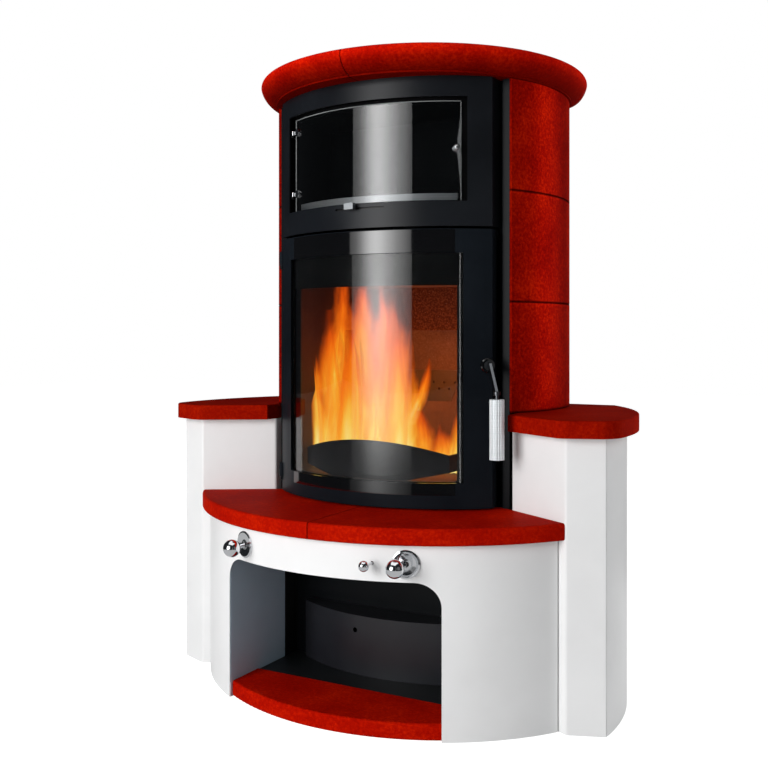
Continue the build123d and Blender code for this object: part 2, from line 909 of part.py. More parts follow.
with BuildPart() as flue_collar:
    riser_height = flue_z + 85 - firebox_top_z
    tail_length = wall_y - flue_y
    peg((0, flue_y, firebox_top_z + 0.2), (0, 0, 1), flue_radius + 8, riser_height)
    peg((0, flue_y, flue_z), (0, 1, 0), flue_radius + 2.5, tail_length)
    peg((0, flue_y, firebox_top_z), (0, 0, 1), flue_radius + 5.5, riser_height - 3, Mode.SUBTRACT)
    peg((0, flue_y, flue_z), (0, 1, 0), flue_radius - socket_step, tail_length, Mode.SUBTRACT)
    peg(
        (0, wall_y - socket_depth, flue_z), (0, 1, 0), flue_radius, 2 * socket_depth, Mode.SUBTRACT
    )
save(flue_collar, "flue_collar")

# Baking compartment --------------------------------------------------------

pane_hinge_y = front_point(pane_radius, front_y, pane_hinge_x) - 7.1
oven_floor_z = window_bottom_z + 2

with BuildPart() as bake_box:
    recess_half = window_half + 1
    recess_low_z = window_bottom_z - 1.5
    recess_high_z = window_top_z + 2
    arc_sheet(
        front_radius - 6.2,
        oven_radius - 3,
        front_y,
        -recess_half - 3,
        recess_half + 3,
        recess_low_z - 3,
        recess_high_z + 3,
    )
    arc_sheet(
        front_radius,
        oven_radius,
        front_y,
        -recess_half,
        recess_half,
        recess_low_z,
        recess_high_z,
        Mode.SUBTRACT,
    )
    bow_block(
        oven_radius - 2.9,
        front_y,
        oven_half,
        oven_back_y,
        oven_floor_z - 2.5,
        window_top_z - 8,
    )
    bow_block(
        oven_radius - 3,
        front_y,
        oven_half - 2.5,
        oven_back_y - 2.5,
        oven_floor_z,
        window_top_z - 10.5,
        Mode.SUBTRACT,
    )
    window(mouth_half, mouth_bottom_z, mouth_top_z, 6, -60, 300)
    for level_z in pane_hinge_levels:
        block(
            pane_hinge_x - 4,
            pane_hinge_x + 4,
            pane_hinge_y - 4,
            pane_hinge_y + 18,
            level_z - 13,
            level_z - 6.3,
        )
        peg((pane_hinge_x, pane_hinge_y, level_z - 13), (0, 0, 1), pane_pin_radius, 18)
save(bake_box, "bake_box")

with BuildPart() as bake_tray:
    tray_half = mouth_half - 5
    tray_radius = oven_radius - 6
    tray_z = oven_floor_z + seat_gap
    bow_block(tray_radius, front_y, tray_half, oven_back_y - 12, tray_z, tray_z + 21.2)
    bow_block(
        tray_radius - 1.5,
        front_y,
        tray_half - 1.5,
        oven_back_y - 13.5,
        tray_z + 1.5,
        tray_z + 30,
        Mode.SUBTRACT,
    )
save(bake_tray, "bake_tray")

with BuildPart() as bake_glass:
    arc_sheet(
        pane_radius,
        pane_radius - pane_thickness,
        front_y,
        -pane_half,
        pane_half,
        pane_bottom_z,
        pane_top_z,
    )
    for hole_x, hole_z in (
        (-pane_fitting_x, pane_hinge_levels[0]),
        (-pane_fitting_x, pane_hinge_levels[1]),
        (pane_fitting_x, pane_knob_z),
    ):
        hole_y = front_point(pane_radius, front_y, hole_x)
        normal = normal_at(pane_radius, hole_x)
        start = (hole_x - 10 * normal[0], hole_y - 10 * normal[1], hole_z)
        peg(start, normal, 3.1, 20, Mode.SUBTRACT)
save(bake_glass, "bake_glass")

with BuildPart() as bake_fittings:
    fitting_y = front_point(pane_radius, front_y, pane_fitting_x)
    left_normal = Vector(*normal_at(pane_radius, -pane_fitting_x))
    left_along = Vector(-left_normal.Y, left_normal.X, 0)
    for level_z in pane_hinge_levels:
        clamp = Vector(-pane_fitting_x, fitting_y, level_z)
        peg(clamp + left_normal * 0.2, left_normal, 11, 4)
        peg(clamp - left_normal * 6.5, left_normal, 3, 8)
        peg(clamp - left_normal * 6.5, left_normal, 8, 2)
        with Locations(Plane(clamp + left_normal * 2.6, x_dir=left_along, z_dir=left_normal)):
            Box(18, 8, 4, align=(Align.MAX, Align.CENTER, Align.CENTER))
        peg((pane_hinge_x, pane_hinge_y, level_z - 6), (0, 0, 1), 4, 12)
        peg(
            (pane_hinge_x, pane_hinge_y, level_z - 6),
            (0, 0, 1),
            pane_pin_radius + running_fit,
            11,
            Mode.SUBTRACT,
        )
    right_normal = Vector(*normal_at(pane_radius, pane_fitting_x))
    knob = Vector(pane_fitting_x, fitting_y, pane_knob_z)
    peg(knob - right_normal * 6.5, right_normal, 3, 20)
    peg(knob - right_normal * 6.5, right_normal, 7, 2)
    peg(knob + right_normal * 0.2, right_normal, 9, 3)
    with Locations(knob + right_normal * 14):
        Sphere(8.5)
save(bake_fittings, "bake_fittings")

with BuildPart() as vent_slider:
    slider_radius = front_radius - 6.8
    arc_sheet(slider_radius, slider_radius - 2, front_y, -128, 92, slot_z - 8.5, slot_z + 5.5)
    tab_angle = math.radians(-2.05)
    tab_normal = Vector(math.sin(tab_angle), -math.cos(tab_angle), 0)
    tab_along = Vector(math.cos(tab_angle), math.sin(tab_angle), 0)
    centre = Vector(0, front_y, 0)
    neck = centre + tab_normal * (slider_radius - 1.2) + Vector(0, 0, slot_z)
    with Locations(Plane(neck, x_dir=tab_along, z_dir=tab_normal)):
        Box(20, slot_height - 0.6, 17, align=(Align.CENTER, Align.CENTER, Align.MIN))
    tab = centre + tab_normal * (front_radius + 8) + Vector(0, 0, slot_z + 5)
    with Locations(Plane(tab, x_dir=tab_along, z_dir=tab_normal)):
        Box(28, 17, 14, align=(Align.CENTER, Align.CENTER, Align.MIN))
save(vent_slider, "vent_slider")

# Air supply ----------------------------------------------------------------

with BuildPart() as air_box:
    duct_bottom_z = store_roof_z + sheet + seat_gap
    duct_top_z = 466
    chamber_bottom_z = inlet_z - inlet_radius - 12
    inner = duct_half - sheet
    block(-duct_half, duct_half, -60, 150, duct_bottom_z, duct_top_z)
    block(-100, 100, 15, 150, chamber_bottom_z, duct_bottom_z + 1)
    block(-inner, inner, -58, 148, duct_bottom_z + sheet, duct_top_z - sheet, Mode.SUBTRACT)
    block(-98, 98, 17, 148, chamber_bottom_z + sheet, duct_bottom_z + 3, Mode.SUBTRACT)
    block(-inner - 1, inner + 1, shutter_y, shutter_y + 2, duct_bottom_z + 1, duct_top_z - 1)
    for knob_x, rod_radius, port_radius in (
        (-air_x, air_rod_radius, 22),
        (air_x, air_rod_radius, 22),
        (small_air_x, small_rod_radius, 15),
    ):
        guide_radius = rod_radius + running_fit
        peg((knob_x, -70, air_z), (0, 1, 0), guide_radius, 20, Mode.SUBTRACT)
        peg((knob_x, shutter_y - 10, air_z), (0, 1, 0), port_radius, 20, Mode.SUBTRACT)
    for side in sides:
        peg((side * duct_x, duct_y, duct_top_z - 6), (0, 0, 1), duct_radius, 10, Mode.SUBTRACT)
    tail_length = wall_y - 148
    peg((0, 148, inlet_z), (0, 1, 0), inlet_radius + 2, tail_length)
    peg((0, 140, inlet_z), (0, 1, 0), inlet_radius - socket_step, tail_length + 10, Mode.SUBTRACT)
    peg(
        (0, wall_y - socket_depth, inlet_z), (0, 1, 0), inlet_radius, 2 * socket_depth, Mode.SUBTRACT
    )
save(air_box, "air_box")

with BuildPart() as rosettes:
    for side in sides:
        base_y = front_point(bench_radius, bench_y, air_x)
        normal = Vector(*normal_at(bench_radius, side * air_x))
        base = Vector(side * air_x, base_y, air_z) + normal * 0.05
        with BuildSketch(
            Plane(base, x_dir=(0, 0, 1), z_dir=(-normal.Y, normal.X, 0))
        ) as profile:
            Polygon(
                (8, 0), (35, 0), (35, 2.5), (31, 4.5), (26, 3.2), (13, 1.6), (8, 1.6), align=None
            )
        revolve(profile.sketch, axis=Axis(base, normal))
save(rosettes, "rosettes")

for side, side_name in ((-1, "left"), (1, "right")):
    ball_y = front_point(bench_radius, bench_y, air_x) - air_knob_reach
    with BuildPart() as air_knob:
        with Locations((side * air_x, ball_y, air_z)):
            Sphere(air_ball_radius)
        peg((side * air_x, ball_y, air_z), (0, 1, 0), 7, 46)
        peg((side * air_x, ball_y + 12, air_z), (0, 1, 0), air_rod_radius, 60, Mode.SUBTRACT)
    save(air_knob, f"{side_name}_air_knob")

    with BuildPart() as air_rod:
        peg(
            (side * air_x, ball_y + 12, air_z),
            (0, 1, 0),
            air_rod_radius,
            shutter_y - 2 - ball_y - 12,
        )
        peg((side * air_x, shutter_y - 3.3, air_z), (0, 1, 0), 26, 3)
    save(air_rod, f"{side_name}_air_rod")

with BuildPart() as small_air_knob:
    small_ball_y = front_point(bench_radius, bench_y, small_air_x) - small_knob_reach
    with Locations((small_air_x, small_ball_y, air_z)):
        Sphere(small_ball_radius)
    peg(
        (small_air_x, small_ball_y, air_z),
        (0, 1, 0),
        small_rod_radius,
        shutter_y - 2 - small_ball_y,
    )
    peg((small_air_x, shutter_y - 3.3, air_z), (0, 1, 0), 19, 3)
save(small_air_knob, "small_air_knob")

# Fire door -----------------------------------------------------------------

door_inner = front_radius - door_depth
glass_edge = glass_half + 10
glass_low_z = glass_bottom_z - glass_overlap + seat_gap
glass_high_z = glass_top_z + glass_overlap + 3

with BuildPart() as door_frame:
    arc_sheet(
        front_radius, door_inner, front_y, -front_half, front_half, door_bottom_z, door_top_z
    )
    window(glass_half, glass_bottom_z, glass_top_z, 2, 0, 400)
    arc_sheet(
        glass_outer_radius + seat_gap,
        door_inner - 5,
        front_y,
        -glass_edge - 0.5,
        glass_edge + 0.5,
        glass_low_z - seat_gap,
        glass_high_z + 0.5,
        Mode.SUBTRACT,
    )
    for z_low, z_high in (
        (glass_top_z - 0.5, top_bar_top_z + seat_gap),
        (bottom_bar_bottom_z - seat_gap, glass_bottom_z + 0.5),
    ):
        arc_sheet(
            front_radius + 8,
            front_radius - 3.5,
            front_y,
            -bar_half - seat_gap,
            bar_half + seat_gap,
            z_low,
            z_high,
            Mode.SUBTRACT,
        )
    for level_z in hinge_levels:
        peg((hinge_x, hinge_y, level_z + seat_gap), (0, 0, 1), barrel_radius, barrel_length)
        peg(
            (hinge_x, hinge_y, level_z - 1),
            (0, 0, 1),
            hinge_pin_radius + running_fit,
            barrel_length,
            Mode.SUBTRACT,
        )
    handle_y = front_point(front_radius, front_y, handle_x)
    handle_normal = Vector(*normal_at(front_radius, handle_x))
    handle_along = Vector(-handle_normal.Y, handle_normal.X, 0)
    pivot = Vector(handle_x, handle_y, handle_z)
    peg(
        pivot - handle_normal * 40,
        handle_normal,
        handle_shaft_radius + running_fit,
        60,
        Mode.SUBTRACT,
    )
save(door_frame, "door_frame")

with BuildPart() as door_bars:
    for z_low, z_high in (
        (glass_top_z + seat_gap, top_bar_top_z),
        (bottom_bar_bottom_z, glass_bottom_z),
    ):
        arc_sheet(
            front_radius + 0.8, front_radius - 3.3, front_y, -bar_half, bar_half, z_low, z_high
        )
save(door_bars, "door_bars")

with BuildPart() as door_glass:
    arc_sheet(
        glass_outer_radius,
        glass_outer_radius - glass_thickness,
        front_y,
        -glass_edge,
        glass_edge,
        glass_low_z,
        glass_high_z,
    )
save(door_glass, "door_glass")

with BuildPart() as glass_clamp:
    arc_sheet(
        glass_outer_radius - glass_thickness - 0.2,
        door_inner + 0.2,
        front_y,
        -glass_edge,
        glass_edge,
        glass_low_z,
        glass_high_z,
    )
    window(glass_half - 9, glass_bottom_z - 4, glass_top_z + 8.5, 4, 0, 400)
save(glass_clamp, "glass_clamp")

with BuildPart() as door_seal:
    seal_low_z = door_bottom_z + 2
    seal_high_z = door_top_z - 21
    seal_half = frame_half + 2
    arc_sheet(
        door_inner, frame_radius + 0.5, front_y, -seal_half, seal_half, seal_low_z, seal_high_z
    )
    window(seal_half - 11, seal_low_z + 12, seal_high_z - 14, 12, 0, 400)
save(door_seal, "door_seal")

# Handle --------------------------------------------------------------------

with BuildPart() as handle_lever:
    lever_side = pivot + handle_along * 2
    grip_axis = pivot + handle_normal * grip_offset + handle_along * grip_side
    peg(pivot - handle_normal * 31, handle_normal, handle_shaft_radius, 40)
    peg(pivot + handle_normal * 0.4, handle_normal, 12, 13.6)
    peg(pivot - handle_normal * 31, handle_normal, 9, 6)
    with Locations(
        Plane(pivot - handle_normal * 31, x_dir=handle_along, z_dir=handle_normal)
    ):
        Box(24, 12, 6, align=(Align.MIN, Align.CENTER, Align.MIN))
    with BuildSketch(
        Plane(lever_side, x_dir=handle_normal, z_dir=handle_along * -1)
    ) as lever_view:
        Polygon(
            (5, -4), (12, 9), (21, 6), (75, -64), (75, -74), (60, -74), (60, -68), align=None
        )
    extrude(lever_view.sketch, amount=3.5, both=True)
    peg((grip_axis.X, grip_axis.Y, handle_z - 74), (0, 0, 1), 9, 9)
    peg((grip_axis.X, grip_axis.Y, grip_top_z - 20), (0, 0, 1), 5, 40)
save(handle_lever, "handle_lever")

with BuildPart() as handle_grip:
    peg(
        (grip_axis.X, grip_axis.Y, grip_bottom_z),
        (0, 0, 1),
        grip_radius,
        grip_top_z - grip_bottom_z,
    )
    with BuildSketch(Plane.XY.offset(grip_bottom_z - 1)):
        with Locations((grip_axis.X, grip_axis.Y)):
            with PolarLocations(grip_radius + 1.2, 18):
                Circle(2.4)
    extrude(amount=grip_top_z - grip_bottom_z + 2, mode=Mode.SUBTRACT)
    peg((grip_axis.X, grip_axis.Y, grip_top_z - 20), (0, 0, 1), 5, 40, Mode.SUBTRACT)
save(handle_grip, "handle_grip")
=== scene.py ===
import json
import math

import bpy
import bmesh
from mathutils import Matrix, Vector


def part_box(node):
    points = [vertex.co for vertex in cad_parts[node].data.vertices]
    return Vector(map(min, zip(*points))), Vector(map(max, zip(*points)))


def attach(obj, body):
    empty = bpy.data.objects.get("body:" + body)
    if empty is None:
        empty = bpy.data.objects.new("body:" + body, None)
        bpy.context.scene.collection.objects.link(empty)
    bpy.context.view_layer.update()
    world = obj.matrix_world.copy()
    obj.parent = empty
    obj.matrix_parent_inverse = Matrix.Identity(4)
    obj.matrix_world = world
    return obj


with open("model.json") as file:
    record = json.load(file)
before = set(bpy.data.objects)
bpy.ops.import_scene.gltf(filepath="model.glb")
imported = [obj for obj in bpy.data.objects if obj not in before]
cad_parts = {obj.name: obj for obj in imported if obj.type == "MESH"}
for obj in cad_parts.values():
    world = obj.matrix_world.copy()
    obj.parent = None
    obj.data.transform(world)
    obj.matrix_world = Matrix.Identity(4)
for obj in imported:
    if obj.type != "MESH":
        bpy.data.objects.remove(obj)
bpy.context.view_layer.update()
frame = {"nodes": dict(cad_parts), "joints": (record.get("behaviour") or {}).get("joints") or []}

# Carcass: stand, bench and pillar frames, body shell, air box, flue collar, front frame, lid and
# rear panel. Folded and welded sheet steel, screwed together under the tiles and powder-coated
# matt black, which leaves a fine orange-peel skin.


def feed(node, sources):
    """Gives inputs of a node a plain value each, or the output that drives them."""
    for name, source in sources.items():
        socket = node.inputs[name]
        if isinstance(source, bpy.types.NodeSocket):
            node.id_data.links.new(source, socket)
        else:
            socket.default_value = source


def add_node(tree, kind, sources):
    """New node of a kind, with its inputs fed."""
    node = tree.nodes.new(kind)
    feed(node, sources)
    return node


def object_place(tree):
    """Place on the object in metres, which moves with the piece."""
    return tree.nodes.new("ShaderNodeTexCoord").outputs["Object"]


def noise_on(tree, place, scale, detail, **more):
    """Noise laid over a place, as a factor from 0 to 1."""
    sources = {"Vector": place, "Scale": scale, "Detail": detail, **more}
    return add_node(tree, "ShaderNodeTexNoise", sources).outputs["Fac"]


def new_group(name, inputs, outputs):
    """Node group with named inputs at their usual values and named number outputs."""
    tree = bpy.data.node_groups.new(name, "ShaderNodeTree")
    for socket_name, usual in inputs.items():
        kind = "NodeSocketVector" if isinstance(usual, tuple) else "NodeSocketFloat"
        socket = tree.interface.new_socket(socket_name, in_out="INPUT", socket_type=kind)
        socket.default_value = usual
    for socket_name in outputs:
        tree.interface.new_socket(socket_name, in_out="OUTPUT", socket_type="NodeSocketFloat")
    return tree, tree.nodes.new("NodeGroupInput").outputs, tree.nodes.new("NodeGroupOutput")


def place_group(tree, group, sources):
    """Puts a node group into a material, feeds it and gives back its outputs."""
    node = tree.nodes.new("ShaderNodeGroup")
    node.node_tree = group
    feed(node, sources)
    return node.outputs


def make_skin_group():
    """Fine skin of a coating: height for the bump and slow changes of tone."""
    scales = {"Grain scale": 900.0, "Cloud scale": 5.0}
    tree, given, result = new_group("coating_skin", scales, ("Height", "Cloud"))
    place = object_place(tree)
    height = noise_on(tree, place, scale=given["Grain scale"], detail=2.0)
    cloud = noise_on(tree, place, scale=given["Cloud scale"], detail=5.0)
    feed(result, {"Height": height, "Cloud": cloud})
    return tree


skin_group = make_skin_group()


def new_material(name):
    """Material with its node tree and its Principled shader."""
    material = bpy.data.materials.new(name)
    material.use_nodes = True
    return material, material.node_tree, material.node_tree.nodes["Principled BSDF"]


def colour_band(tree, factor, stops):
    """Colour ramp from (place, colour) stops, driven by a 0 to 1 factor."""
    ramp = tree.nodes.new("ShaderNodeValToRGB")
    elements = ramp.color_ramp.elements
    while len(elements) < len(stops):
        elements.new(0.5)
    for element, (place, colour) in zip(elements, stops):
        element.position = place
        element.color = (*colour, 1.0)
    feed(ramp, {"Fac": factor})
    return ramp.outputs["Color"]


def value_band(tree, factor, low, high, start=0.0, end=1.0):
    """Maps a factor, held between start and end, to the values from low to high."""
    sources = {
        "Value": factor,
        "From Min": start,
        "From Max": end,
        "To Min": low,
        "To Max": high,
    }
    return add_node(tree, "ShaderNodeMapRange", sources).outputs["Result"]


def bump_from(tree, height, strength, distance):
    """Normal that a height gives."""
    sources = {"Height": height, "Strength": strength, "Distance": distance}
    return add_node(tree, "ShaderNodeBump", sources).outputs["Normal"]


def coated(name, dark, light, rough, grain=900.0, cloud=5.0, bump=0.12, specular=0.5, metallic=0.0):
    """Coating or metal with a fine skin and slow changes of tone and gloss."""
    material, tree, shader = new_material(name)
    skin = place_group(tree, skin_group, {"Grain scale": grain, "Cloud scale": cloud})
    gloss_spread = 0.04
    skin_depth = 0.0002
    colour = colour_band(tree, skin["Cloud"], ((0.35, dark), (0.65, light)))
    gloss = value_band(tree, skin["Cloud"], rough - gloss_spread, rough + gloss_spread)
    normal = bump_from(tree, skin["Height"], bump, skin_depth)
    feed(shader, {"Base Color": colour, "Roughness": gloss, "Normal": normal})
    feed(shader, {"Specular IOR Level": specular, "Metallic": metallic})
    return material


def dress(material, *node_names):
    """Gives CAD nodes their material."""
    for name in node_names:
        mesh = frame["nodes"][name].data
        mesh.materials.clear()
        mesh.materials.append(material)


matt_black = coated(
    "matt_black_coating",
    dark=(0.006, 0.007, 0.008),
    light=(0.011, 0.012, 0.013),
    rough=0.5,
)
dress(matt_black, "stand", "bench_frame", "pillar_frames", "body_shell", "air_box")
dress(matt_black, "flue_collar", "front_frame", "top_lid", "rear_panel")

# Flue gasket: ring that closes the gap between the flue pipe and the rear panel.
# Plaited glass fibre rope, pressed in by hand before the stove goes to the wall.
rope_grey = coated(
    "glass_fibre_rope",
    dark=(0.16, 0.15, 0.14),
    light=(0.30, 0.29, 0.27),
    rough=0.9,
    grain=700.0,
    bump=0.8,
)
flue_height = 1.400
rope_radius = 0.004
rope_sides = 8
gasket_reach = 0.0785
panel_gap = 0.0025
gasket_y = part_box("rear_panel")[0].y - panel_gap


def turned_ring(centre, way_out, profile, steps=48):
    """Ring about a level axis; its profile gives (reach from the axis, place along it)."""
    side = Vector((-way_out.y, way_out.x, 0.0))
    form = bmesh.new()
    rings = []
    for step in range(steps):
        angle = math.tau * step / steps
        spoke = side * math.cos(angle) + Vector((0.0, 0.0, math.sin(angle)))
        rings.append(
            [form.verts.new(centre + spoke * reach + way_out * rise) for reach, rise in profile]
        )
    for step, ring in enumerate(rings):
        after = rings[(step + 1) % steps]
        for corner in range(len(profile)):
            beside = (corner + 1) % len(profile)
            form.faces.new((ring[corner], ring[beside], after[beside], after[corner]))
    bmesh.ops.recalc_face_normals(form, faces=form.faces)
    return form


def add_piece(name, form, material):
    """Object made from a finished form, with its material, linked into the scene."""
    mesh = bpy.data.meshes.new(name)
    form.to_mesh(mesh)
    form.free()
    mesh.materials.append(material)
    piece = bpy.data.objects.new(name, mesh)
    bpy.context.scene.collection.objects.link(piece)
    return piece


rope_round = []
for rope_turn in range(rope_sides):
    tilt = math.tau * rope_turn / rope_sides
    rope_round.append((gasket_reach + rope_radius * math.cos(tilt), rope_radius * math.sin(tilt)))
gasket_centre = Vector((0.0, gasket_y, flue_height))
gasket_form = turned_ring(gasket_centre, Vector((0.0, 1.0, 0.0)), rope_round)
flue_gasket = add_piece("flue_gasket", gasket_form, rope_grey)
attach(flue_gasket, "stove")

# Firebox: steel shell with a fireclay floor, sides, back and baffle, which are loose slabs.
# Pressed fireclay with coarse grain, browned by the fire; the back's upper course is darker and
# redder.
dress(matt_black, "firebox_shell")
course_height = 0.99


def blend_values(tree, share, first, second):
    """Mix of two values, by the number sockets 0, 2 and 3 of a Mix node."""
    return add_node(tree, "ShaderNodeMix", {0: share, 2: first, 3: second}).outputs[0]


def mix_colours(tree, share, first, second, mode="MIX"):
    """Mix of two colours, by the colour sockets 6, 7 and 2 of a Mix node."""
    mix = tree.nodes.new("ShaderNodeMix")
    mix.data_type = "RGBA"
    mix.blend_type = mode
    feed(mix, {0: share, 6: first, 7: second})
    return mix.outputs[2]


def place_along(tree, axis):
    """Place on the object along one axis, in metres."""
    split = add_node(tree, "ShaderNodeSeparateXYZ", {"Vector": object_place(tree)})
    return split.outputs[axis]


def reckon(tree, operation, first, second):
    """Result of one sum with two values."""
    node = tree.nodes.new("ShaderNodeMath")
    node.operation = operation
    feed(node, {0: first, 1: second})
    return node.outputs["Value"]


def make_clay_group():
    """Pressed clay: coarse grain, and a blend of it with slow clouds of soot."""
    tree, _, result = new_group("clay_grain", {}, ("Grain", "Blend"))
    place = object_place(tree)
    grain = noise_on(tree, place, scale=240.0, detail=9.0)
    soot = noise_on(tree, place, scale=7.0, detail=5.0)
    blend = blend_values(tree, share=0.5, first=grain, second=soot)
    feed(result, {"Grain": grain, "Blend": blend})
    return tree


clay_group = make_clay_group()


def fireclay(name, shades, upper_shades=None):
    """Pressed fireclay; the course above course_height may have shades of its own."""
    material, tree, shader = new_material(name)
    clay = place_group(tree, clay_group, {})
    stops = tuple(zip((0.36, 0.50, 0.64), shades))
    colour = colour_band(tree, clay["Blend"], stops)
    if upper_shades:
        upper_stops = tuple(zip((0.38, 0.50, 0.60), upper_shades))
        upper = colour_band(tree, clay["Grain"], upper_stops)
        above = reckon(tree, "GREATER_THAN", place_along(tree, "Z"), course_height)
        colour = mix_colours(tree, above, colour, upper)
    normal = bump_from(tree, clay["Grain"], strength=0.6, distance=0.0012)
    feed(shader, {"Base Color": colour, "Normal": normal})
    feed(shader, {"Roughness": 0.85, "Specular IOR Level": 0.2})
    return material


clay_shades = ((0.060, 0.034, 0.028), (0.090, 0.052, 0.043), (0.130, 0.078, 0.065))
upper_course_shades = ((0.030, 0.010, 0.004), (0.060, 0.020, 0.008), (0.110, 0.042, 0.018))
dress(fireclay("brown_fireclay", clay_shades), "lining_floor", "lining_sides", "baffle")
dress(fireclay("two_course_fireclay", clay_shades, upper_course_shades), "lining_back")

# Fire irons: perforated air plate, grate, curved log retainer and the ash pan under the grate.
# Cut and bent steel plate, scorched or coated, and a cast iron grate; all hang or lie loose.
heat_steel = coated(
    "heat_worn_steel",
    dark=(0.036, 0.023, 0.019),
    light=(0.056, 0.035, 0.030),
    rough=0.6,
    grain=300.0,
)
dress(heat_steel, "air_plate")
cast_iron = coated(
    "cast_iron_skin",
    dark=(0.018, 0.017, 0.016),
    light=(0.035, 0.033, 0.031),
    rough=0.6,
    grain=260.0,
    bump=0.5,
)
dress(cast_iron, "grate")
retainer_grey = coated(
    "retainer_grey_coating",
    dark=(0.010, 0.010, 0.012),
    light=(0.015, 0.015, 0.018),
    rough=0.30,
    specular=0.25,
)
dress(retainer_grey, "log_retainer")
dress(matt_black, "ash_pan")

# Baking compartment: folded steel box above the fire, with a tray that lies on its floor.
# The box is enamelled dull black; the tray is stainless steel, brushed from side to side.
oven_black = coated(
    "oven_black_enamel",
    dark=(0.002, 0.002, 0.0022),
    light=(0.004, 0.004, 0.0045),
    rough=0.7,
    grain=500.0,
    specular=0.1,
)
dress(oven_black, "bake_box")


def make_brush_group():
    """Brushed metal: long fine lines across the piece."""
    tree, _, result = new_group("brushed_lines", {}, ("Lines",))
    stretch = {"Vector": object_place(tree), "Scale": (6.0, 6.0, 900.0)}
    stretched = add_node(tree, "ShaderNodeMapping", stretch).outputs["Vector"]
    feed(result, {"Lines": noise_on(tree, stretched, scale=1.0, detail=3.0)})
    return tree


brush_group = make_brush_group()


def brushed_metal(name, dark, light, rough, metallic=1.0):
    """Metal whose tone, gloss and skin follow the lines of the brush."""
    material, tree, shader = new_material(name)
    lines = place_group(tree, brush_group, {})["Lines"]
    gloss_spread = 0.08
    colour = colour_band(tree, lines, ((0.3, dark), (0.7, light)))
    gloss = value_band(tree, lines, rough - gloss_spread, rough + gloss_spread)
    normal = bump_from(tree, lines, strength=0.08, distance=0.0002)
    feed(shader, {"Base Color": colour, "Roughness": gloss, "Normal": normal})
    feed(shader, {"Metallic": metallic})
    return material


tray_steel = brushed_metal(
    "brushed_tray_steel",
    dark=(0.46, 0.48, 0.49),
    light=(0.60, 0.62, 0.63),
    rough=0.56,
)
dress(tray_steel, "bake_tray")

# Log store: shell, floor, two blue-grey cheeks and a curved cover at the back.
# Folded sheet steel, coated smooth and screwed in under the bench; the cover is dark grey.
dress(matt_black, "store_floor")
post_black = coated(
    "post_black_coating",
    dark=(0.0025, 0.003, 0.004),
    light=(0.004, 0.005, 0.006),
    rough=0.34,
    bump=0.05,
    specular=0.12,
)
dress(post_black, "store_shell")
cheek_grey = coated(
    "cheek_grey_coating",
    dark=(0.54, 0.69, 0.80),
    light=(0.59, 0.75, 0.87),
    rough=0.42,
)
dress(cheek_grey, "store_jambs")
cover_grey = coated(
    "cover_grey_coating",
    dark=(0.010, 0.010, 0.013),
    light=(0.014, 0.015, 0.018),
    rough=0.36,
)
dress(cover_grey, "store_cover")

# White sheets: curved bench front, and a folded front and a curved side on each pillar.
# Steel sheet, bent and folded, fixed to the frames behind and coated satin white.
satin_white = coated(
    "satin_white_coating",
    dark=(0.82, 0.82, 0.82),
    light=(0.86, 0.86, 0.86),
    rough=0.34,
    bump=0.05,
    specular=0.25,
)
dress(satin_white, "bench_panel")
for side_name in ("left", "right"):
    dress(satin_white, f"{side_name}_pillar_front", f"{side_name}_pillar_side")

# Red ceramic: floor slab, pillar caps, bench seat, drum tiles and cornice, laid and hung by hand.
# Cast ceramic with a satin red glaze, which is mottled and darker along its seams; the tiles and
# cornice also carry painted shade and painted highlight.


def make_mottle_group():
    """Mottle of a glaze: fine specks, and a blend of them with slow clouds."""
    shift = {"Shift": (0.0, 0.0, 0.0)}
    tree, given, result = new_group("glaze_mottle", shift, ("Specks", "Blend"))
    moved = {"Vector": object_place(tree), "Location": given["Shift"]}
    place = add_node(tree, "ShaderNodeMapping", moved).outputs["Vector"]
    specks = noise_on(tree, place, scale=130.0, detail=8.0, Roughness=0.7)
    clouds = noise_on(tree, place, scale=9.0, detail=3.0)
    blend = blend_values(tree, share=0.30, first=specks, second=clouds)
    feed(result, {"Specks": specks, "Blend": blend})
    return tree


mottle_group = make_mottle_group()


def level_band(tree, factor, levels):
    """Grey ramp from (place, level) pairs."""
    return colour_band(tree, factor, [(place, (level, level, level)) for place, level in levels])


def red_glaze(name, seed, depth, softness, joint_and_light_bands=()):
    """Satin red glaze; each band multiplies it along an axis, from low to high, by its levels: dark
    joints, painted shade and painted highlight.
    """
    material, tree, shader = new_material(name)
    mottle = place_group(tree, mottle_group, {"Shift": (seed, 0.37 * seed, 0.71 * seed)})
    deep_red = (0.18 * depth, 0.0006, 0.0002)
    mid_red = (0.34 * depth, 0.0050, 0.0004)
    warm_red = (0.56 * depth, 0.0200, 0.0010)
    reds = ((0.5 - softness, deep_red), (0.50, mid_red), (0.5 + softness, warm_red))
    colour = colour_band(tree, mottle["Blend"], reds)
    # Bands of painted shade and painted highlight, and dark joints, multiplied into the glaze
    # colour.
    for axis, low, high, levels in joint_and_light_bands:
        along = value_band(tree, place_along(tree, axis), 0.0, 1.0, start=low, end=high)
        colour = mix_colours(tree, 1.0, colour, level_band(tree, along, levels), "MULTIPLY")
    gloss = value_band(tree, mottle["Specks"], low=0.50, high=0.66)
    normal = bump_from(tree, mottle["Specks"], strength=0.35, distance=0.0006)
    feed(shader, {"Base Color": colour, "Roughness": gloss, "Normal": normal})
    feed(shader, {"Specular IOR Level": 0.005})
    return material


dress(red_glaze("slab_glaze", seed=1.3, depth=1.25, softness=0.24), "floor_slab")
dress(red_glaze("cap_glaze", seed=3.2, depth=0.85, softness=0.24), "left_cap", "right_cap")

seam_reach = 0.010
seam_levels = ((0.0, 1.0), (0.39, 1.0), (0.44, 0.35), (0.56, 0.35), (0.61, 1.0))
seam_pool = ("X", -seam_reach, seam_reach, seam_levels)
bench_glaze = red_glaze("bench_glaze", seed=1.9, depth=1.15, softness=0.24, joint_and_light_bands=(seam_pool,))
dress(bench_glaze, "left_bench_slab", "right_bench_slab")

